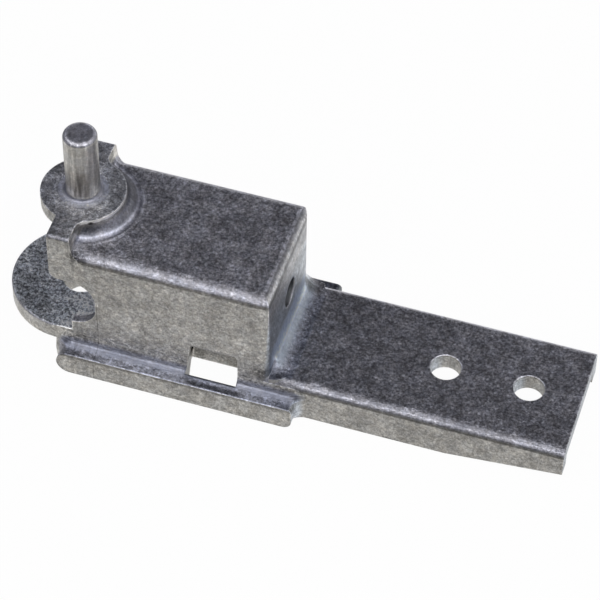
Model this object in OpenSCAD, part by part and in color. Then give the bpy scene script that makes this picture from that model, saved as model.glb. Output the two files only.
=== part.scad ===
// Fridge door hinge: one zinc die casting. A pin stands on a round platform at one end of a
// hollow block, the block slides in on two side rails, and a tongue with two screw holes
// fixes it. Sizes are in millimetres. Lengths along X are measured from the pin's axis, and
// heights from the underside. The finished part is centred on its own length.

/* [Channel] */
// Width over the two flanges
channel_w = 24; // [22:0.5:30]
// Height of the tongue's upper face
web_top = 8.2; // [7:0.1:10]
// Thickness of the tongue's web
web_t = 3.3; // [2.5:0.1:4]
// Thickness of each flange
flange_t = 2.6; // [2:0.1:3.2]
// Distance from the pin's axis to the tongue's end
tongue_reach = 90.5; // [86:0.5:110]
// Distance from the pin's axis back to where the flanges begin
flange_back = 2; // [1.6:0.1:2.2]
// Length of the sloped underside at the tongue's end
ramp_len = 21; // [12:0.5:24]
// Height of that slope at the tongue's end
ramp_rise = 2.3; // [1:0.1:3]
// Rounding of the tongue's long edges
tongue_round = 1.7; // [0.5:0.1:2]
// Rounding of the foot plate's upper edge
foot_round = 0.35; // [0.2:0.05:1.2]

/* [Block] */
// Height of the block's upper face
block_top = 28.5; // [26:0.5:34]
// Distance from the pin's axis to the block's end wall
block_reach = 37.5; // [36:0.5:46]
// Distance from the pin's axis back to the block's open end
block_back = 2.4; // [2.2:0.1:3]
// Thickness of the block's side walls
side_wall = 1.6; // [1.4:0.1:2.4]
// Thickness of the block's end wall
end_wall = 5; // [2:0.5:5.5]
// Rounding of the block's long upper edges
block_round = 2.1; // [1:0.1:3]
// Rounding of the end wall's upper edge
end_round = 1.7; // [0.5:0.1:2]
// Rounding of the upright corner on the front side, at its foot
front_corner = 1.6; // [1:0.1:3]
// Height at which that rounding has run out
corner_top = 25.5; // [22:0.5:26]
// Rounding of the upright corner on the back side
back_corner = 3; // [1:0.1:4]
// Radius of the fillet between the end wall and the tongue
end_fillet = 3.5; // [1:0.5:4]
// Height of the hollow's ceiling
throat_top = 21.1; // [18:0.1:22]
// Rounding of the hollow's upper corners
hollow_round = 2; // [1:0.5:3]

/* [Side notches] */
// Distance from the pin's axis to the round end of the notch
notch_reach = 5.8; // [4.5:0.1:8]
// Height of the notch's lower edge
notch_bottom = 10.6; // [10:0.1:12]
// Rounding of the notch's inner end
notch_round = 4.4; // [2:0.1:4.6]
// Distance from the pin's axis to the low step of the side wall
step_reach = 1.2; // [0.8:0.1:1.3]
// Rounding under the crossbar's outer edge
lip_round = 1.6; // [0.5:0.1:2]

/* [Rails] */
// How far each rail stands out from the side
rail_out = 3.2; // [2.5:0.1:4]
// Height of the rails
rail_h = 4.9; // [4:0.1:6]
// Distance from the pin's axis back to the rails' ends
rail_back = 1; // [0.5:0.1:1.4]
// Distance from the pin's axis to the rails' far ends
rail_reach = 42.6; // [36:0.1:50]
// Fillet between the side wall and the rail
rail_fillet = 2.2; // [1:0.1:2.4]
// Rounding of the rails' upper corner at the far end
rail_round = 1; // [0.5:0.1:2.2]
// Rounding of the rails' lower corner at the far end
rail_heel = 1.7; // [0.5:0.1:2.2]

/* [Rail slot] */
// Distance from the pin's axis to the slot
slot_start = 23; // [18:0.1:24]
// Length of the slot along the rail
slot_len = 8.8; // [6:0.1:9]
// How much further the slot reaches towards the pin at the underside
slot_lean = 1.1; // [0:0.1:2]
// How far the slot cuts into the rail
slot_out = 1.1; // [0.5:0.1:1.4]
// How far the slot reaches inside the side face
slot_in = 3.2; // [2.8:0.1:4]
// Height of the slot's top
slot_top = 11.9; // [10:0.1:14]
// Rounding of the slot's upper corners
slot_round = 0.8; // [0.5:0.1:2.5]

/* [Platform] */
// Height of the platform's upper face
platform_top = 31.9; // [30:0.1:38]
// Radius of the platform's disc
disc_r = 7.5; // [7:0.05:8.5]
// Thickness of the disc where it overhangs the foot
disc_t = 2.6; // [2:0.1:3.3]
// Fillet between the disc and the block
disc_cove = 3; // [1:0.1:3.5]
// Distance from the pin's axis to the crossbar's upper inner edge
bar_reach = 1.6; // [1:0.1:2.4]
// Rounding of the crossbar's end edges
bar_round = 0.7; // [0.4:0.1:1.5]
// Fillet at the foot of the crossbar
bar_fillet = 1.8; // [0.6:0.1:2]
// Upright fillet where the disc meets the crossbar
neck_fillet = 2; // [1:0.1:2.5]
// Draft angle of the walls around the platform
draft = 8; // [2:0.5:10]

/* [Pin] */
// Diameter of the pin
pin_d = 6; // [5:0.1:8]
// Height of the pin above the platform
pin_h = 14.1; // [10:0.1:20]
// Rounding of the pin's tip
pin_tip = 0.9; // [0.3:0.1:1.5]
// Fillet at the pin's foot
pin_fillet = 0.9; // [0.4:0.1:1.3]

/* [Holes] */
// Diameter of the screw holes in the tongue
screw_d = 5.5; // [4:0.1:6.5]
// Distance from the pin's axis to the first screw hole
screw_x = 66.1; // [60:0.1:70]
// Distance between the screw holes
screw_pitch = 15; // [10:0.5:18]
// Diameter of the hole through the foot plate
foot_bore_d = 7; // [5:0.1:7.5]
// Distance from the pin's axis back to that hole
foot_bore_back = 1.3; // [0.8:0.1:2]
// Diameter of the boss under the foot plate
boss_d = 12; // [10:0.5:14]
// Height of the boss's lower end
boss_bottom = 1.6; // [0.4:0.1:3]
// Diameter of the hole in the end wall
end_hole_d = 5.5; // [4:0.1:6]
// Height of that hole's axis
end_hole_z = 18; // [17:0.1:18.1]

/* [Hidden] */
$fn = 96;
// Overlap of a cut past the face that it starts from
past = 1;
half_w = channel_w / 2;
web_bottom = web_top - web_t;
foot_reach = flange_back + half_w;
shoulder_y = half_w - block_round;
// How far the platform's drafted walls spread per millimetre of height
spread = tan(draft);
// How near a free-standing rounding's axis is to the wall, as a share of its radius. It then
// crosses the wall at a very small angle, because two bodies that only touch don't join cleanly.
touch = 0.998;
// The part's own frame is centred between the foot's round end and the tongue's end
centre_x = (tongue_reach - foot_reach) / 2;

// The area between a floor and a wall that leans back, filled up to the arc that touches both.
// The wall stands on the origin and the floor runs along +X.
module corner_fill(r, lean = 0) {
    reach = r * (1 - sin(lean)) / cos(lean);
    rise = r * (1 - sin(lean));
    difference() {
        polygon([[-past, -past], [reach, -past], [reach, r], [reach - r * cos(lean), rise], [-past, rise]]);
        translate([reach, r]) circle(r);
    }
}

// A rectangle from [x0, y0] to [x1, y1] with a rounded corner at [x1, y1]
module round_one(x0, y0, x1, y1, r) {
    union() {
        translate([x0, y0]) square([x1 - x0, y1 - y0 - r]);
        translate([x0, y0]) square([x1 - x0 - r, y1 - y0]);
        translate([x1 - r, y1 - r]) circle(r);
    }
}

// Lays an outline drawn in X and Z across the part's width, centred on Y = 0
module across(w) {
    rotate([90, 0, 0]) linear_extrude(height = w, center = true) children();
}

// Carries an outline drawn in Y and Z along X
module along(x0, x1) {
    translate([x0, 0, 0]) rotate([90, 0, 90]) linear_extrude(height = x1 - x0) children();
}

// A body of the channel's width whose two upper long edges are rounded
module round_shouldered(top, r) {
    union() {
        translate([-half_w, 0]) square([channel_w, top - r]);
        translate([r - half_w, 0]) square([channel_w - 2 * r, top]);
        for (side = [-1, 1]) translate([side * (half_w - r), top - r]) circle(r);
    }
}

// Web and flanges from the foot to the tongue's end, still without their holes
module channel() {
    difference() {
        along(-flange_back, tongue_reach) round_shouldered(web_top, tongue_round);
        along(-flange_back - past, tongue_reach + past)
            translate([flange_t - half_w, -past])
                square([channel_w - 2 * flange_t, web_bottom + past]);
        across(channel_w + 2 * past) polygon([
            [tongue_reach - ramp_len, 0],
            [tongue_reach + past, ramp_rise * (1 + past / ramp_len)],
            [tongue_reach + past, -past],
            [tongue_reach - ramp_len, -past]]);
    }
}

// The foot plate's round end under the pin, with its rounded upper edge
module foot() {
    translate([-flange_back, 0, web_bottom])
        rotate([0, 0, 90]) rotate_extrude(angle = 180)
            round_one(0, 0, half_w, web_t, foot_round);
}

// The block with its rounded edges, before it is hollowed
module block() {
    intersection() {
        along(-block_back, block_reach) round_shouldered(block_top, block_round);
        across(channel_w + 2 * past)
            round_one(-block_back, web_bottom, block_reach, block_top, end_round);
        translate([-block_back - past, -half_w, web_bottom - past])
            linear_extrude(height = block_top)
                round_one(0, 0, block_back + past + block_reach, channel_w, back_corner);
    }
}

// What is cut from the block's front upright corner. The rounding is a cone that runs along both
// walls, with its tip on their edge. It reaches down past the block's foot.
module front_corner_cut() {
    taper = front_corner / (corner_top - web_top);
    upright = 1 / sqrt(1 + 2 * taper * taper);
    aside = taper * upright;
    long = 1.5 * (corner_top - web_bottom);
    translate([block_reach, -half_w, corner_top]) difference() {
        rotate([0, atan(aside / upright / sqrt(2)), -45])
            translate([0, -half_w / 2, -long]) cube([half_w, half_w, long]);
        rotate([0, 180 - acos(upright), 135])
            cylinder(r1 = 0, r2 = long * tan(asin(aside)) / touch, h = long);
    }
}

// The fillet that runs from the end wall down to the tongue. It follows the back upright corner
// and fades out before the front one.
module end_wall_fillet() {
    fade_y = end_fillet - half_w;
    wrap_y = half_w - back_corner;
    intersection() {
        translate([0, 0, web_top]) union() {
            translate([block_reach, (fade_y + wrap_y) / 2, 0])
                across(wrap_y - fade_y) corner_fill(end_fillet);
            translate([block_reach - back_corner, wrap_y, 0])
                rotate_extrude(angle = 90) translate([back_corner, 0]) corner_fill(end_fillet);
            translate([block_reach, fade_y, 0]) rotate([0, 0, -90])
                rotate_extrude(angle = 90) intersection() {
                    corner_fill(end_fillet);
                    translate([0, -past]) square(2 * end_fillet);
                }
        }
        along(0, tongue_reach) translate([-half_w, web_bottom]) square([channel_w, block_top]);
    }
}

// The room inside the block, open at the pin's end
module hollow() {
    along(-block_back - past, block_reach - end_wall) intersection() {
        translate([side_wall - half_w, web_top])
            square([channel_w - 2 * side_wall, throat_top - web_top]);
        union() {
            for (side = [-1, 1]) mirror([side < 0 ? 1 : 0, 0])
                round_one(0, web_top - past, half_w - side_wall, throat_top, hollow_round);
        }
    }
}

// What is cut from the side walls to open the throat between the foot and the crossbar
module side_notch() {
    across(channel_w + 2 * past) union() {
        translate([-block_back - past, web_top])
            square([block_back + past + step_reach, throat_top - web_top]);
        translate([-block_back - past, notch_bottom + notch_round])
            square([block_back + past + notch_reach, throat_top - notch_bottom - 2 * notch_round]);
        translate([-block_back - past, notch_bottom])
            square([block_back + past + notch_reach - notch_round, throat_top - notch_bottom]);
        for (z = [notch_bottom + notch_round, throat_top - notch_round])
            translate([notch_reach - notch_round, z]) circle(notch_round);
        difference() {
            translate([-block_back - past, throat_top - past])
                square([past + lip_round, past + lip_round]);
            translate([-block_back + lip_round, throat_top + lip_round]) circle(lip_round);
        }
    }
}

// A rail's side view: its pin end is a half circle, its far end has two rounded corners
module rail_outline() {
    union() {
        translate([rail_h / 2 - rail_back, rail_h / 2]) circle(d = rail_h);
        translate([rail_h / 2 - rail_back, 0]) round_one(
            0, rail_heel, rail_reach + rail_back - rail_h / 2, rail_h, rail_round);
        translate([rail_h / 2 - rail_back, 0])
            square([rail_reach + rail_back - rail_h / 2 - rail_heel, rail_h / 2]);
        translate([rail_reach - rail_heel, rail_heel]) circle(rail_heel);
    }
}

// The fillet round a corner of the rail whose centre is at [x, z], between two angles that are
// counted from the far end downwards
module rail_corner_fillet(x, z, r, from, to) {
    translate([x, half_w, z]) rotate([-90, 0, 0]) rotate([0, 0, from])
        rotate_extrude(angle = to - from) translate([r, 0]) corner_fill(rail_fillet);
}

// One rail, with the fillet that joins it to the side wall and runs round its ends
module rail() {
    translate([0, half_w + (rail_out - flange_t) / 2, 0]) across(rail_out + flange_t)
        rail_outline();
    intersection() {
        union() {
            along(rail_h / 2 - rail_back, rail_reach - rail_round)
                translate([half_w, rail_h]) corner_fill(rail_fillet);
            translate([rail_reach, half_w, rail_heel])
                linear_extrude(height = rail_h - rail_round - rail_heel) corner_fill(rail_fillet);
            rail_corner_fillet(rail_h / 2 - rail_back, rail_h / 2, rail_h / 2, 90, 270);
            rail_corner_fillet(rail_reach - rail_round, rail_h - rail_round, rail_round, -90, 0);
            rail_corner_fillet(rail_reach - rail_heel, rail_heel, rail_heel, 0, 90);
        }
        along(-flange_back, tongue_reach)
            translate([half_w - past, 0]) square([past + rail_out, web_top]);
    }
}

// The slot cut down through the side wall, the web and the rail
module rail_slot() {
    slot_end = slot_start + slot_len;
    translate([0, -half_w + (slot_in - slot_out) / 2, 0]) across(slot_in + slot_out) union() {
        polygon([
            [slot_start - slot_lean * (1 + past / slot_top), -past],
            [slot_end, -past],
            [slot_end, slot_top - slot_round],
            [slot_end - slot_round, slot_top],
            [slot_start + slot_round, slot_top],
            [slot_start, slot_top - slot_round]]);
        for (x = [slot_start + slot_round, slot_end - slot_round])
            translate([x, slot_top - slot_round]) circle(slot_round);
    }
}

// The disc under the pin: a plate past the crossbar, and over the block a drafted foot whose
// wall runs out into the block's upper face in a cove
module disc() {
    rise = platform_top - block_top;
    off_wall = touch * disc_cove;
    cove_x = disc_r + (rise - disc_cove) * spread + off_wall / cos(draft);
    translate([0, 0, platform_top - disc_t]) intersection() {
        cylinder(r = disc_r, h = disc_t);
        translate([-block_reach, -half_w, 0])
            cube([block_reach - block_back / 2, channel_w, disc_t]);
    }
    intersection() {
        translate([0, 0, block_top]) rotate_extrude() difference() {
            polygon([[0, -past], [cove_x, -past], [cove_x, disc_cove],
                [cove_x - off_wall * cos(draft), disc_cove - off_wall * sin(draft)],
                [disc_r, rise], [0, rise]]);
            translate([cove_x, disc_cove]) circle(disc_cove);
        }
        translate([-block_back, -half_w, block_top - past])
            cube([block_reach, channel_w, platform_top]);
    }
}

// The bar that carries the disc across the block's full width, with rounded ends
module crossbar() {
    foot_x = bar_reach + (platform_top - block_top) * spread;
    intersection() {
        union() {
            translate([bar_reach, 0, platform_top]) rotate([180, -draft, 0])
                translate([-block_reach, -half_w - past, -past])
                    cube([block_reach, channel_w + 2 * past, block_top]);
            translate([foot_x, 0, block_top]) across(2 * shoulder_y)
                corner_fill(bar_fillet, draft);
            for (side = [0, 1]) mirror([0, side, 0])
                translate([foot_x, shoulder_y, block_top - block_round]) rotate([90, 0, 90])
                    rotate_extrude(angle = 90) translate([block_round, 0])
                        mirror([1, -1]) corner_fill(bar_fillet, draft);
        }
        along(-block_back, block_reach) round_shouldered(platform_top, bar_round);
        across(channel_w + 2 * past)
            translate([-block_back, throat_top]) square([block_reach, platform_top]);
    }
}

// The upright fillets where the disc runs into the crossbar, each with a body that reaches back
// into both
module neck_fillets() {
    off_wall = touch * neck_fillet;
    axis_x = bar_reach + off_wall;
    axis_y = sqrt(pow(disc_r + off_wall, 2) - pow(axis_x, 2));
    h = platform_top - block_top + past;
    for (side = [0, 1]) mirror([0, side, 0]) translate([0, 0, block_top - past]) difference() {
        linear_extrude(height = h)
            polygon([[axis_x, axis_y], [0, axis_y], [0, axis_y / 2], [axis_x / 2, axis_y / 2]]);
        translate([axis_x, axis_y, 0])
            cylinder(r1 = neck_fillet - h * spread, r2 = neck_fillet, h = h);
    }
}

// The pin with its rounded tip and the fillet at its foot
module pin() {
    translate([0, 0, platform_top]) rotate_extrude() union() {
        translate([0, -past]) square([pin_d / 2, past]);
        round_one(0, 0, pin_d / 2, pin_h, pin_tip);
        translate([pin_d / 2, 0]) corner_fill(pin_fillet);
    }
}

// A screw hole through the web at a distance from the pin's axis
module screw_hole(x) {
    translate([x, 0, web_bottom - past]) cylinder(d = screw_d, h = web_t + 2 * past);
}

module hinge_body() {
    color([0.56, 0.56, 0.58]) translate([-centre_x, 0, 0]) difference() {
        union() {
            channel();
            foot();
            difference() {
                block();
                front_corner_cut();
            }
            end_wall_fillet();
            rail();
            mirror([0, 1, 0]) rail();
            crossbar();
            disc();
            neck_fillets();
            pin();
            translate([-foot_bore_back, 0, boss_bottom])
                cylinder(d = boss_d, h = web_bottom - boss_bottom + past);
        }
        hollow();
        side_notch();
        rail_slot();
        for (i = [0, 1]) screw_hole(screw_x + i * screw_pitch);
        translate([-foot_bore_back, 0, boss_bottom - past])
            cylinder(d = foot_bore_d, h = web_top - boss_bottom + 2 * past);
        translate([block_reach - end_wall - past, 0, end_hole_z]) rotate([0, 90, 0])
            cylinder(d = end_hole_d, h = end_wall + 2 * past);
    }
}

hinge_body();
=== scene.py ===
import math

import bmesh
import bpy
from mathutils import Matrix, Vector

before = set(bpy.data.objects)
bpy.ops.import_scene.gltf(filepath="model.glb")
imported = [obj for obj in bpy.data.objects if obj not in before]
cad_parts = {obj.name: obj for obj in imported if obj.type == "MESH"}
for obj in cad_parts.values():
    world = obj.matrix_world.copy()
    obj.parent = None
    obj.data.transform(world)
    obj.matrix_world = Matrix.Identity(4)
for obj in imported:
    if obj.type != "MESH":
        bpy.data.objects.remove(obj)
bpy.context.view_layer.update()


# The photographer's table: a pale board with a sheet of white paper on it, and the hinge lies on
# the paper. Both are seen as plain white. In reflections the table is a painted glow, bright near
# the hinge and darker further out: painted light in place of how a real table is lit.
board_half_width = 3
pale_paint = (0.8, 0.8, 0.8, 1)
full_white = (1, 1, 1, 1)
dull_finish = 0.9
glow_shape = (0.45, 1, 0)
near_glow = (0.03, 0.95)
far_glow = (0.075, 0.33)
white_share = 0.97


def shader_node(tree, kind, **settings):
    made = tree.nodes.new("ShaderNode" + kind)
    for name, value in settings.items():
        setattr(made, name, value)
    return made


def set_ramp(made, *stops):
    bar = made.color_ramp.elements
    while len(bar) < len(stops):
        bar.new(0.5)
    for stop, (place, grey) in zip(bar, stops):
        stop.position = place
        stop.color = (grey, grey, grey, 1)


def join(tree, start, end):
    tree.links.new(start, end)


def show_white(tree, share):
    ray = shader_node(tree, "LightPath")
    straight = shader_node(tree, "Math", operation="MAXIMUM")
    join(tree, ray.outputs["Is Camera Ray"], straight.inputs[0])
    join(tree, ray.outputs["Is Transmission Ray"], straight.inputs[1])
    lit = shader_node(tree, "Math", operation="MULTIPLY_ADD")
    join(tree, straight.outputs[0], lit.inputs[0])
    lit.inputs[1].default_value = share
    join(tree, ray.outputs["Is Glossy Ray"], lit.inputs[2])
    glow = shader_node(tree, "Emission")
    blend = shader_node(tree, "MixShader")
    join(tree, lit.outputs[0], blend.inputs[0])
    join(tree, tree.nodes["Principled BSDF"].outputs[0], blend.inputs[1])
    join(tree, glow.outputs[0], blend.inputs[2])
    join(tree, blend.outputs[0], tree.nodes["Material Output"].inputs["Surface"])
    return straight.outputs[0], glow.inputs["Color"]


board_mesh = bmesh.new()
bmesh.ops.create_grid(board_mesh, x_segments=1, y_segments=1, size=board_half_width)
board = bpy.data.objects.new("table", bpy.data.meshes.new("table"))
board_mesh.to_mesh(board.data)
board_mesh.free()
bpy.context.collection.objects.link(board)
paper = bpy.data.materials.new("white_paper")
paper.use_nodes = True
tree = paper.node_tree
tree.nodes["Principled BSDF"].inputs["Base Color"].default_value = pale_paint
tree.nodes["Principled BSDF"].inputs["Roughness"].default_value = dull_finish
straight_ray, glow_colour = show_white(tree, white_share)
# The glow that the metal mirrors falls off from the hinge outwards: painted light.
place = shader_node(tree, "TexCoord")
squeezed = shader_node(tree, "VectorMath", operation="MULTIPLY")
join(tree, place.outputs["Object"], squeezed.inputs[0])
squeezed.inputs[1].default_value = glow_shape
from_middle = shader_node(tree, "VectorMath", operation="LENGTH")
join(tree, squeezed.outputs[0], from_middle.inputs[0])
glow_falloff = shader_node(tree, "ValToRGB")
set_ramp(glow_falloff, near_glow, far_glow)
join(tree, from_middle.outputs["Value"], glow_falloff.inputs[0])
looked_at = shader_node(tree, "MixRGB")
join(tree, straight_ray, looked_at.inputs[0])
join(tree, glow_falloff.outputs[0], looked_at.inputs[1])
looked_at.inputs[2].default_value = full_white
join(tree, looked_at.outputs[0], glow_colour)
board.data.materials.append(paper)

# The backdrop: white card bent upwards behind the table and to its right. The end wall and the
# fillets behind it mirror it.
card_radius = 0.9
card_height = 0.3
card_mesh = bmesh.new()
card_foot = []
for turn in range(-40, 121, 10):
    angle = math.radians(turn)
    spot = (card_radius * math.sin(angle), card_radius * math.cos(angle), 0)
    card_foot.append(card_mesh.verts.new(spot))
for near_end, far_end in zip(card_foot, card_foot[1:]):
    card_mesh.edges.new((near_end, far_end))
lifted = bmesh.ops.extrude_edge_only(card_mesh, edges=card_mesh.edges[:])
card_top = [part for part in lifted["geom"] if isinstance(part, bmesh.types.BMVert)]
bmesh.ops.translate(card_mesh, vec=(0, 0, card_height), verts=card_top)
card = bpy.data.objects.new("backdrop", bpy.data.meshes.new("backdrop"))
card_mesh.to_mesh(card.data)
card_mesh.free()
bpy.context.collection.objects.link(card)
card_paint = bpy.data.materials.new("white_card")
card_paint.use_nodes = True
card_paint.node_tree.nodes["Principled BSDF"].inputs["Base Color"].default_value = pale_paint
show_white(card_paint.node_tree, 1)
card.data.materials.append(card_paint)

# The room and its soft boxes: a broad, low one in front that draws the bright line along every
# upper edge, one to each side, and a weaker one overhead. Behind the table the room is dark, and
# the flat tops mirror that.
room_grey = (0.19, 0.19, 0.21, 1)
camera_side = math.radians(16.907)
room = bpy.data.worlds.new("room")
room.use_nodes = True
room.node_tree.nodes["Background"].inputs["Color"].default_value = room_grey
bpy.context.scene.world = room


def towards(azimuth, elevation):
    level_reach = math.cos(elevation)
    return Vector((math.sin(azimuth) * level_reach, -math.cos(azimuth) * level_reach,
                   math.sin(elevation)))


def facing_back(direction):
    return direction.to_track_quat("Z", "Y").to_matrix().to_4x4()


def soft_box(name, turn, elevation, distance, width, height, brightness):
    lamp = bpy.data.lights.new(name, "AREA")
    lamp.shape = "RECTANGLE"
    lamp.size = width
    lamp.size_y = height
    lamp.energy = brightness * math.pi * width * height
    box = bpy.data.objects.new(name, lamp)
    bpy.context.collection.objects.link(box)
    away = towards(camera_side + math.radians(turn), math.radians(elevation))
    box.matrix_world = Matrix.Translation(away * distance) @ facing_back(away)


soft_box("front_box", turn=0, elevation=47, distance=1.2, width=2.0, height=0.66, brightness=1.55)
soft_box("left_box", turn=-75, elevation=47, distance=1.2, width=1.6, height=0.6, brightness=1.3)
soft_box("right_box", turn=75, elevation=47, distance=1.2, width=1.6, height=0.6, brightness=1.3)
soft_box("top_box", turn=0, elevation=80, distance=1.3, width=1.6, height=0.6, brightness=0.8)

# The camera: a long lens from the front right, held as the picture was taken.
camera_height = math.radians(49.805)
camera_tilt = math.radians(0.855)
camera_distance = 0.51478
picture_middle = Vector((0.00109, 0, 0.01666))
lens = bpy.data.cameras.new("camera")
lens.lens = 177.573
lens.sensor_width = 36
lens.clip_start = 0.01
camera = bpy.data.objects.new("camera", lens)
bpy.context.collection.objects.link(camera)
line_of_sight = towards(camera_side, camera_height)
stand = Matrix.Translation(picture_middle + line_of_sight * camera_distance)
camera.matrix_world = stand @ facing_back(line_of_sight) @ Matrix.Rotation(camera_tilt, 4, "Z")
bpy.context.scene.camera = camera

# The casting: one piece of zinc alloy, shot into a steel die and then tumbled, which breaks its
# edges and leaves the rest mottled grey. The bright bands along its edges are painted highlights.
# Sizes are in millimetres here, as in the part's source, from the pin's axis and from the table.
pin_from_middle = 38.25
pin_radius, pin_top = 3, 46
platform_top = 31.9
block_top, block_reach, block_round = 28.5, 37.5, 2.1
hollow_top, hollow_side, hollow_reach = 21.1, 10.4, 32.5
web_top, channel_side, tongue_round, tail_start = 8.2, 12, 1.7, 43
rail_top, rail_side = 4.9, 15.2
screw_hole_radius, screw_holes = 2.75, (66.1, 81.1)
end_hole_radius, end_hole_z = 2.75, 18
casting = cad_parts["hinge_body"]
zinc = bpy.data.materials.new("cast_zinc")
zinc.use_nodes = True
tree = zinc.node_tree
skin = tree.nodes["Principled BSDF"]
skin.inputs["Metallic"].default_value = 1


def put(socket, given):
    if isinstance(given, bpy.types.NodeSocket):
        join(tree, given, socket)
    else:
        socket.default_value = given


def work_out(operation, *given):
    made = shader_node(tree, "Math", operation=operation)
    for socket, each in zip(made.inputs, given):
        put(socket, each)
    return made.outputs[0]


def beyond(source, point):
    return work_out("SUBTRACT", source, point)


def both(*masks):
    made = masks[0]
    for mask in masks[1:]:
        made = work_out("MULTIPLY", made, mask)
    return made


def either(*masks):
    made = masks[0]
    for mask in masks[1:]:
        made = work_out("MAXIMUM", made, mask)
    return made


def fade(source, start, end, low=0, high=1):
    made = shader_node(tree, "MapRange", interpolation_type="SMOOTHSTEP")
    for socket, each in zip(made.inputs, (source, start, end, low, high)):
        put(socket, each)
    return made.outputs[0]


def within(source, low, high, soft):
    return both(fade(source, low - soft, low + soft), fade(source, high + soft, high - soft))


def apart(a, b):
    return work_out("SQRT", work_out("ADD", both(a, a), both(b, b)))


def mottle(scale, detail, roughness, stretch=(1, 1, 1)):
    stretched = shader_node(tree, "VectorMath", operation="MULTIPLY")
    join(tree, millimetres, stretched.inputs[0])
    stretched.inputs[1].default_value = stretch
    made = shader_node(tree, "TexNoise")
    join(tree, stretched.outputs[0], made.inputs["Vector"])
    made.inputs["Scale"].default_value = scale
    made.inputs["Detail"].default_value = detail
    made.inputs["Roughness"].default_value = roughness
    return made.outputs[0]


def near(spot, inner, outer, stretch=(1, 1, 1)):
    away = shader_node(tree, "VectorMath", operation="MULTIPLY_ADD")
    join(tree, millimetres, away.inputs[0])
    away.inputs[1].default_value = stretch
    away.inputs[2].default_value = [-at * times for at, times in zip(spot, stretch)]
    length = shader_node(tree, "VectorMath", operation="LENGTH")
    join(tree, away.outputs[0], length.inputs[0])
    return fade(length.outputs["Value"], outer, inner)


def tinted(mask, under, over, blend="MIX"):
    made = shader_node(tree, "MixRGB", blend_type=blend)
    for socket, each in zip(made.inputs, (mask, under, over)):
        put(socket, each)
    return made.outputs[0]


place = shader_node(tree, "TexCoord")
in_mm = shader_node(tree, "VectorMath", operation="MULTIPLY_ADD")
join(tree, place.outputs["Object"], in_mm.inputs[0])
in_mm.inputs[1].default_value = (1000, 1000, 1000)
in_mm.inputs[2].default_value = (pin_from_middle, 0, 0)
millimetres = in_mm.outputs[0]
split = shader_node(tree, "SeparateXYZ")
join(tree, millimetres, split.inputs[0])
x, y, z = split.outputs
facing = shader_node(tree, "NewGeometry")
split = shader_node(tree, "SeparateXYZ")
join(tree, facing.outputs["Normal"], split.inputs[0])
nx, _, nz = split.outputs

# What lies flat, what stands upright, how far a point is from each round form's axis, and the
# cast grain in its sizes. The pin alone has streaks that run along it.
level = fade(nz, 0.9, 0.995)
upright = fade(work_out("ABSOLUTE", nz), 0.45, 0.15)
off_side = work_out("ABSOLUTE", y)
from_pin = apart(x, y)
from_cove = apart(beyond(x, -0.1), beyond(y, 0.55))
from_end_hole = apart(y, beyond(z, end_hole_z))
from_screw_hole = work_out("MINIMUM", *(apart(beyond(x, at), y) for at in screw_holes))
grain = mottle(0.3, 3, 0.9)
speckle = mottle(1.8, 2, 1)
streak = mottle(1.4, 2, 0.6, stretch=(1, 1, 0.07))
tint = mottle(0.5, 3, 0.8)

# Brightness marks. Each is a place with how bright the metal is there next to the plain skin: over
# 1 it is brighter, and under 1 darker. Most are painted highlights and painted shade on the edges,
# fillets and corners; the witness line, the flaw, the scratch and the pits are marks that handling
# and the die left.
# A profile gives the brightness at stops along a height, a distance or a slope.
brightest = 2.5
marks = []


def profile(source, *stops):
    low, high = stops[0][0], stops[-1][0]
    share = shader_node(tree, "MapRange")
    for socket, each in zip(share.inputs, (source, low, high)):
        put(socket, each)
    bar = shader_node(tree, "ValToRGB")
    set_ramp(bar, *(((at - low) / (high - low), bright / brightest) for at, bright in stops))
    join(tree, share.outputs[0], bar.inputs[0])
    return work_out("MULTIPLY", bar.outputs[0], brightest)


def mark(mask, bright):
    if isinstance(bright, bpy.types.NodeSocket):
        marks.append(work_out("MULTIPLY_ADD", beyond(bright, 1), mask, 1))
    else:
        marks.append(work_out("MULTIPLY_ADD", bright - 1, mask, 1))


# The block's upper edges carry a painted highlight band, with a painted shade line under it. The
# band is duller along the end wall, where it has no such line and its brow gets a painted
# highlight.
block_shoulder = block_top - block_round
on_block = both(fade(z, block_shoulder - 0.2, block_shoulder),
                fade(z, block_top + 0.1, block_top + 0.05), fade(x, 2.5, 4))
mark(on_block, profile(
    nz, (0, 1), (0.03, 0.62), (0.2, 0.58), (0.33, 1), (0.45, 2.35), (0.62, 2.3), (0.73, 1.4),
    (0.9, 0.85), (0.96, 0.92), (0.995, 1.1), (1, 1)))
end_edge = both(on_block, fade(nx, 0.3, 0.55))
end_line = both(on_block, fade(nx, 0.8, 0.93), within(nz, 0.02, 0.3, soft=0.03))
end_brow = both(on_block, within(nx, 0.06, 0.38, soft=0.04))
mark(end_edge, 0.62)
mark(end_line, 1.55)
mark(end_brow, 1.4)

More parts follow.
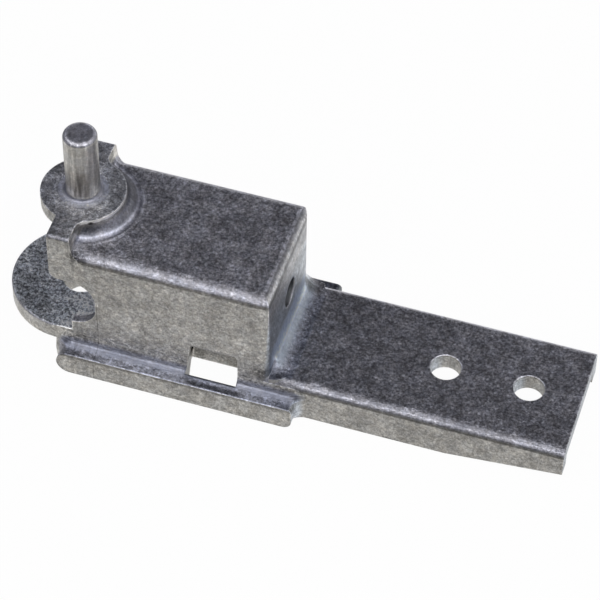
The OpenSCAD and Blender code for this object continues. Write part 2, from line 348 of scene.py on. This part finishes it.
# The tongue's upper edges carry a painted highlight with a painted shade line under it, and its far
# top edge and the far rims of its screw holes a painted highlight line. Past the rails it is a
# little darker.
tongue_shoulder = web_top - tongue_round
on_tongue = both(fade(z, tongue_shoulder - 0.2, tongue_shoulder),
                 fade(z, web_top + 0.1, web_top + 0.05), fade(off_side, 10, 10.2),
                 fade(off_side, channel_side + 0.05, channel_side), fade(x, 41.5, tail_start))
mark(on_tongue, profile(
    nz, (0, 1), (0.03, 0.5), (0.2, 0.4), (0.4, 0.65), (0.57, 1.7), (0.68, 1.7), (0.78, 0.9),
    (0.95, 0.8), (0.995, 1.15), (1, 1)))
far_edge = both(fade(y, 10.2, 10.6), fade(nz, 0.99, 0.9), fade(z, 7, 7.3))
rim_inside, rim_outside = screw_hole_radius - 0.05, screw_hole_radius + 0.2
hole_rim = both(fade(z, web_top - 0.1, web_top), fade(y, 0, 1.5),
                within(from_screw_hole, rim_inside, rim_outside, soft=0.05))
mark(far_edge, 2.1)
mark(hole_rim, 2.2)
mark(both(level, fade(x, 40, 42)), 0.78)
mark(both(upright, fade(x, tail_start, 45)), 0.82)

# The rail's inner fillet: a painted highlight line where it leaves the wall, a smooth bluish hollow
# with painted highlight and painted shade in bands, then blotches down to the ledge, whose edge has
# a painted highlight. The rail's outer face has a painted shade line under that edge.
in_rail = both(fade(off_side, channel_side - 0.1, channel_side), fade(z, 8.6, 8.1),
               fade(z, rail_top - 0.2, rail_top - 0.05), within(x, -1, 44, soft=0.5))
roughened = beyond(mottle(1.1, 3, 0.8, stretch=(0.6, 1, 1)), 0.5)
ragged_height = work_out("ADD", z, both(roughened, fade(z, 5.8, 6.6, 0, 3)))
mark(in_rail, profile(
    ragged_height, (4.9, 1.38), (4.97, 1.42), (5.02, 1.16), (5.08, 0.97), (5.15, 0.9), (5.24, 0.67),
    (5.33, 0.64), (5.44, 0.87), (5.56, 0.8), (5.66, 0.5), (5.82, 0.95), (5.98, 1.35), (6.14, 1.26),
    (6.32, 1.2), (6.52, 1.2), (6.74, 1.3), (6.98, 1.5), (7.25, 1.5), (7.6, 1.25), (8.1, 1.1)))
scuffs = mottle(1.5, 2, 0.8, stretch=(0.7, 1, 1))
scuffed = both(in_rail, fade(z, 5.7, 6), fade(scuffs, 0.5, 0.58))
ledge = both(in_rail, fade(z, 5.2, 5))
blots = mottle(0.8, 3, 0.8, stretch=(0.45, 1, 1))
blotches = both(ledge, fade(blots, 0.5, 0.58))
mark(scuffed, 0.62)
mark(blotches, 0.6)
rail_face = both(fade(off_side, rail_side - 0.1, rail_side - 0.01), fade(z, 5, 4.88))
mark(rail_face, profile(
    z, (0, 0.9), (3.6, 0.86), (3.9, 0.82), (4.16, 0.7), (4.45, 0.47), (4.6, 0.46), (4.73, 0.62),
    (4.82, 1), (4.9, 1.1)))
# The far rail by the end wall and the jamb of the slot are darkened: painted shade.
far_rail = both(fade(y, channel_side - 0.1, channel_side), fade(x, 35, 37), fade(z, 5.5, 5))
slot_jamb = both(fade(nx, 0.6, 0.9), within(x, 21, 23.5, soft=0.2), fade(z, 9, 8.6),
                 fade(off_side, 9.5, 10))
mark(far_rail, 0.4)
mark(slot_jamb, 0.4)

# The fillet at the foot of the end wall has a painted highlight and is bluish, and its corners are
# darkened with painted shade.
end_fillet = both(fade(x, block_reach - 0.2, block_reach - 0.05), fade(x, 41.6, 41),
                  fade(z, 14.5, 13), fade(z, web_top - 0.2, web_top), fade(y, 9.8, 8.2))
mark(end_fillet, profile(
    z, (8.2, 0.8), (8.5, 0.75), (9.4, 0.85), (9.75, 1.15), (10.1, 2.1), (10.6, 1.9), (11.5, 1.65),
    (14.5, 1.2)))
near_corner = both(end_fillet, fade(y, -8.5, -11))
far_corner = both(within(x, 37.6, 40.6, soft=0.4), fade(y, 7.6, 9.4), fade(z, 13, 11.5),
                  fade(z, web_top - 0.2, web_top))
corner_shade = both(near((36, -11.9, 9.2), 0.3, 1.5, stretch=(0.7, 1, 0.8)),
                   fade(speckle, 0.62, 0.5, 0.4, 1))
mark(near_corner, 0.55)
mark(far_corner, 0.42)
mark(corner_shade, 0.35)

# The wall under the round platform and the cove it runs out in, with a painted highlight on the rim
# above, a painted highlight line round the cove's foot and painted shade between them. Its far side
# is painted duller: painted shade.
disc_wall = both(fade(x, 1.8, 2.4), fade(z, block_top - 0.1, block_top),
                 fade(z, platform_top - 0.01, platform_top - 0.06), fade(from_cove, 10.4, 9.9))
mark(disc_wall, profile(
    from_cove, (7.6, 1), (8, 1.1), (8.15, 1), (8.4, 0.75), (8.8, 0.6), (9, 0.7), (9.15, 1.05),
    (9.3, 1.9), (9.45, 1.65), (9.6, 1.3), (9.8, 1.05), (10, 0.95), (10.4, 1)))
disc_rim = both(disc_wall, fade(from_pin, 8.1, 7.9), fade(z, 31.15, 31.45))
far_wall = both(disc_wall, fade(y, -2, 2.5), fade(from_cove, 8.9, 8.6), fade(z, 31.2, 30.8))
far_cove = both(disc_wall, fade(y, -3, 3))
mark(disc_rim, 2.6)
mark(far_wall, 0.85)
mark(far_cove, 0.77)

# The crossbar's end wall beside the disc with painted highlight and painted shade up its height,
# the upright fillet between them with its dark patch and casting flaw, and painted shade where the
# bar meets the block's corner.
neck = both(within(x, 1.8, 2.35, soft=0.05), fade(off_side, 7.9, 8.3),
            fade(z, platform_top, platform_top - 0.4))
mark(neck, profile(
    z, (27.9, 0.8), (28.3, 0.55), (28.55, 0.8), (28.8, 1.2), (29.1, 1.3), (29.5, 1.1), (29.9, 1.2),
    (30.4, 1.5), (31.2, 1.3), (31.9, 1.2)))
patch = both(near((3.65, -7.2, 30.1), 0.6, 1.7, stretch=(0.8, 1, 1)),
             fade(speckle, 0.3, 0.5, 1, 0.75))
flaw = near((3.7, -6.62, 31.3), 0.15, 0.4, stretch=(0.45, 1, 1))
bar_corner_shade = both(near((2.9, -11.75, 27.9), 0.7, 1.9, stretch=(0.8, 1, 1)),
             fade(speckle, 0.62, 0.5, 0.3, 1))
mark(patch, 0.5)
mark(flaw, 0.12)
mark(bar_corner_shade, 0.35)

# The pin: a painted highlight ring round its tip, a painted highlight on the smooth fillet at its
# foot, and a darker, browner band above that on its front. The pin is paler, more so higher up. The
# platform round it is brighter near the pin and darker towards the edge.
by_pin = fade(from_pin, pin_radius + 0.1, pin_radius + 0.05)
on_pin = both(by_pin, fade(z, 32.6, 32.8))
tip = both(by_pin, fade(z, 45, 45.1), fade(from_pin, 1.85, 2.05))
mark(tip, profile(
    z, (45, 1.15), (45.25, 1.35), (45.42, 1.1), (45.6, 1.2), (45.75, 1.1), (45.87, 1.2),
    (45.95, 1.6), (pin_top, 1.1)))
pin_foot = both(fade(from_pin, 4.7, 4.3), within(z, platform_top - 0.1, 32.6, soft=0.05))
mark(pin_foot, profile(from_pin, (3, 1), (3.4, 1), (3.7, 1.2), (4, 1.35), (4.7, 1.2)))
front_band_across = (0.957, 0.291)
aside = work_out("MULTIPLY_ADD", x, front_band_across[0], both(y, front_band_across[1]))
front_band = both(on_pin, fade(z, 42.5, 35), fade(z, 32.4, 33.4), fade(aside, -2.8, -1),
             fade(aside, 2, 0.1), fade(y, 0, -0.5), fade(streak, 0.62, 0.45, 0.5, 1))
on_platform = both(level, within(z, 31.6, 32.2, soft=0.1))
mark(on_pin, 1.15)
mark(both(on_pin, fade(z, 34, 41)), 1.2)
mark(front_band, 0.28)
mark(both(on_platform, fade(from_pin, 4.6, 7.6)), 0.68)
mark(both(on_platform, fade(from_pin, 6, 4)), 1.25)

# The foot plate is painted brighter, painted light; it is pitted and darker towards its round end.
on_foot = both(level, fade(x, 8, 4), within(z, 8, 8.4, soft=0.1))
pits = both(on_foot, fade(speckle, 0.52, 0.42), fade(x, 4, -1, 0.35, 1))
mark(on_foot, 1.25)
mark(pits, 0.58)
mark(both(on_foot, fade(x, 2, -5)), 0.42)

# The witness line that a slide in the die left on the near wall, with a brighter strip beside
# it, and a short scratch on the block's top.
near_face = fade(y, 0.1 - channel_side, 0.01 - channel_side)
witness = both(within(x, 5.95, 6.08, soft=0.05), near_face,
               either(fade(z, 9, 8), both(fade(z, 18, 15), fade(z, 5, 9))))
beside = both(within(x, 6.2, 6.35, soft=0.06), near_face, fade(z, 20, 18), fade(z, 5.5, 6))
scratch = near((17.9, 8.75, block_top), 0, 0.22, stretch=(0.11, 0.75, 1))
mark(witness, 0.55)
mark(beside, 1.15)
mark(scratch, 1.6)

# Tumbling broke every sharp edge by about half a millimetre. The edge break is only in how the edge
# catches the light, and every edge is also brightened in the colour: a painted highlight.
rounded = shader_node(tree, "Bevel", samples=8)
rounded.inputs["Radius"].default_value = 0.0005
off_flat = shader_node(tree, "VectorMath", operation="DOT_PRODUCT")
join(tree, rounded.outputs[0], off_flat.inputs[0])
join(tree, facing.outputs["Normal"], off_flat.inputs[1])
edge_highlight = both(fade(off_flat.outputs["Value"], 0.97, 0.75), fade(rail_face, 1, 0))
mark(edge_highlight, 1.8)

# The grain over all of it is stronger on what lies flat and weaker in the smooth hollows. The
# pale foot plate stays under a limit, or its bright spots would turn plain white.
shiny = either(both(in_rail, fade(z, 6.3, 5.8)), end_fillet)
shaded = either(disc_wall, pin_foot)
hollows = either(shiny, shaded)
smooth = either(both(hollows, fade(z, 6.3, 5.8)), both(hollows, fade(z, 8.6, 9.1)), on_pin)
contrast = either(fade(smooth, 0, 1, 1, 0.42), both(either(ledge, disc_wall), 0.8))
coarse = both(beyond(grain, 0.5), fade(level, 0, 1, 1.5, 3.3))
fine = work_out("MULTIPLY_ADD", beyond(speckle, 0.5), fade(level, 0, 1, 2.6, 4.2), coarse)
streaks = both(beyond(streak, 0.5), both(on_pin, 1.6))
spots = work_out("POWER", math.e, work_out("MULTIPLY_ADD", fine, contrast, streaks))
limit = fade(on_foot, 0, 1, 2.6, 1.3)
shade = work_out("MINIMUM", both(spots, *marks), limit)

# Its colours: bluish grey where it lies flat and warmer and paler on the walls, shaded and lit
# copies of one metal: painted shade on the tops and painted light on the walls. The platform, the
# end wall and the foot plate are paler, painted light, and the end wall is bluer low down, painted
# reflection. Inside the hollow and the end hole it is nearly black: painted shade.
flat_painted_shade = (0.285, 0.285, 0.316, 1)
wall_painted_light = (0.38, 0.368, 0.347, 1)
platform_outer, platform_inner = (0.38, 0.385, 0.42, 1), (0.47, 0.48, 0.52, 1)
foot_painted_light = (0.77, 0.81, 0.88, 1)
end_wall_low, end_wall_high = (0.455, 0.483, 0.52, 1), (0.475, 0.474, 0.488, 1)
hollow_painted_shade = (0.05, 0.05, 0.055, 1)
end_hole_painted_shade = (0.28, 0.29, 0.31, 1)
shiny_tint, shaded_tint = (0.965, 1.005, 1.09, 1), (0.99, 1, 1.04, 1)
front_band_tint = (1.06, 1, 0.95, 1)
cool_tint, warm_tint = (0.988, 1, 1.02, 1), (1.012, 1, 0.98, 1)
colour = tinted(upright, flat_painted_shade, wall_painted_light)
colour = tinted(on_platform, colour, tinted(fade(x, -5, 4), platform_outer, platform_inner))
colour = tinted(on_foot, colour, foot_painted_light)
end_wall = both(fade(nx, 0.3, 0.8), fade(x, 36, 37))
colour = tinted(end_wall, colour, tinted(fade(z, 20, 24), end_wall_low, end_wall_high))
# The smooth hollows are tinted bluish, painted reflection, and the band on the pin's front browner.
for mask, cast in ((shiny, shiny_tint), (shaded, shaded_tint), (front_band, front_band_tint)):
    colour = tinted(mask, colour, tinted(1, colour, cast, "MULTIPLY"))
colour = tinted(1, colour, tinted(fade(tint, 0.38, 0.62), cool_tint, warm_tint), "MULTIPLY")
grey = shader_node(tree, "CombineXYZ")
for socket in grey.inputs:
    join(tree, shade, socket)
colour = tinted(1, colour, grey.outputs[0], "MULTIPLY")
# The hollow and the end hole are painted dark: painted shade.
in_hollow = both(within(x, 6, hollow_reach + 0.1, soft=3),
                 fade(off_side, hollow_side + 0.2, hollow_side + 0.1),
                 within(z, web_top - 0.1, hollow_top + 0.2, soft=0.1))
in_end_hole = both(fade(from_end_hole, end_hole_radius + 0.25, end_hole_radius + 0.1),
                   within(x, 31, block_reach - 0.2, soft=0.1))
colour = tinted(in_hollow, colour, hollow_painted_shade)
colour = tinted(in_end_hole, colour, end_hole_painted_shade)
join(tree, colour, skin.inputs["Base Color"])
join(tree, fade(grain, 0.3, 0.7, 0.42, 0.32), skin.inputs["Roughness"])

# The fine dents of the cast skin, shallower where it is smooth.
dented = shader_node(tree, "Bump")
dented.inputs["Strength"].default_value = 1
dented.inputs["Distance"].default_value = 0.0002
join(tree, both(mottle(1.6, 3, 0.7), fade(smooth, 0, 1, 1, 0.4)), dented.inputs["Height"])
join(tree, rounded.outputs[0], dented.inputs["Normal"])
join(tree, dented.outputs[0], skin.inputs["Normal"])
for slot in casting.material_slots:
    slot.material = zinc

bpy.context.scene.view_settings.view_transform = "Standard"
